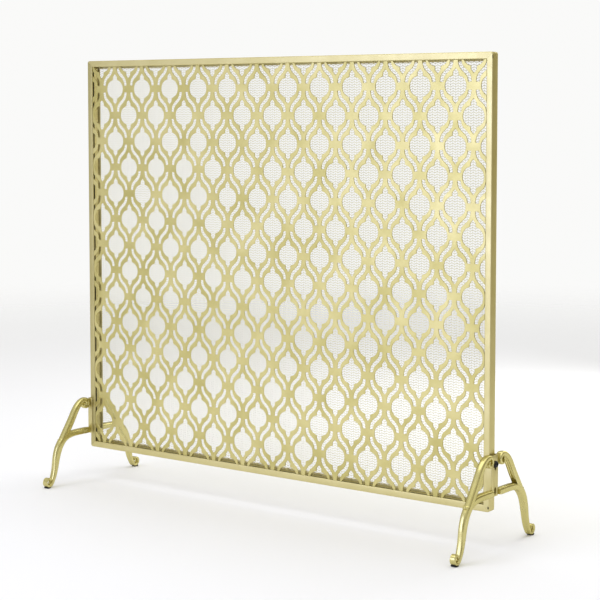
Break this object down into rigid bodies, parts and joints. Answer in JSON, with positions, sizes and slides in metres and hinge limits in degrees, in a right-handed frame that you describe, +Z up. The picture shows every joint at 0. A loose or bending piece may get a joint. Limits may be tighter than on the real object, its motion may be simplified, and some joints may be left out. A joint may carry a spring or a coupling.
{
  "type": "fireplace screen",
  "caption": "Free-standing flat fireplace screen: gold tube frame with a pierced lantern lattice over wire mesh, on scrolled bar legs bolted to its sides.",
  "frame": {"origin": "on the floor, below the centre of the screen (bottom centre of the bounding box)", "axes": "+X along the screen's width to the right as seen from the front, front faces -Y, +Z up"},
  "size_m": [1.0032, 0.2858, 0.889],
  "materials": {
    "gold": "satin metallic gold",
    "wire": "fine woven wire",
    "black": "black, semi-gloss",
    "pad": "matt black"
  },
  "bodies": {
    "root": {"frame_top_rail": "gold", "frame_bottom_rail": "gold", "frame_left_stile": "gold", "frame_right_stile": "gold", "lattice_panel": "gold", "mesh_screen": "wire", "mesh_strip_top": "gold", "mesh_strip_bottom": "gold", "mesh_strip_left": "gold", "mesh_strip_right": "gold", "left_bracket": "gold", "left_bolt": "black", "left_bolt_spacer": "black", "right_bracket": "gold", "right_bolt": "black", "right_bolt_spacer": "black", "left_front_leg": "gold", "left_front_scroll_bar": "gold", "left_front_foot_pad": "pad", "left_back_leg": "gold", "left_back_scroll_bar": "gold", "left_back_foot_pad": "pad", "right_front_leg": "gold", "right_front_scroll_bar": "gold", "right_front_foot_pad": "pad", "right_back_leg": "gold", "right_back_scroll_bar": "gold", "right_back_foot_pad": "pad"}
  },
  "joints": []
}
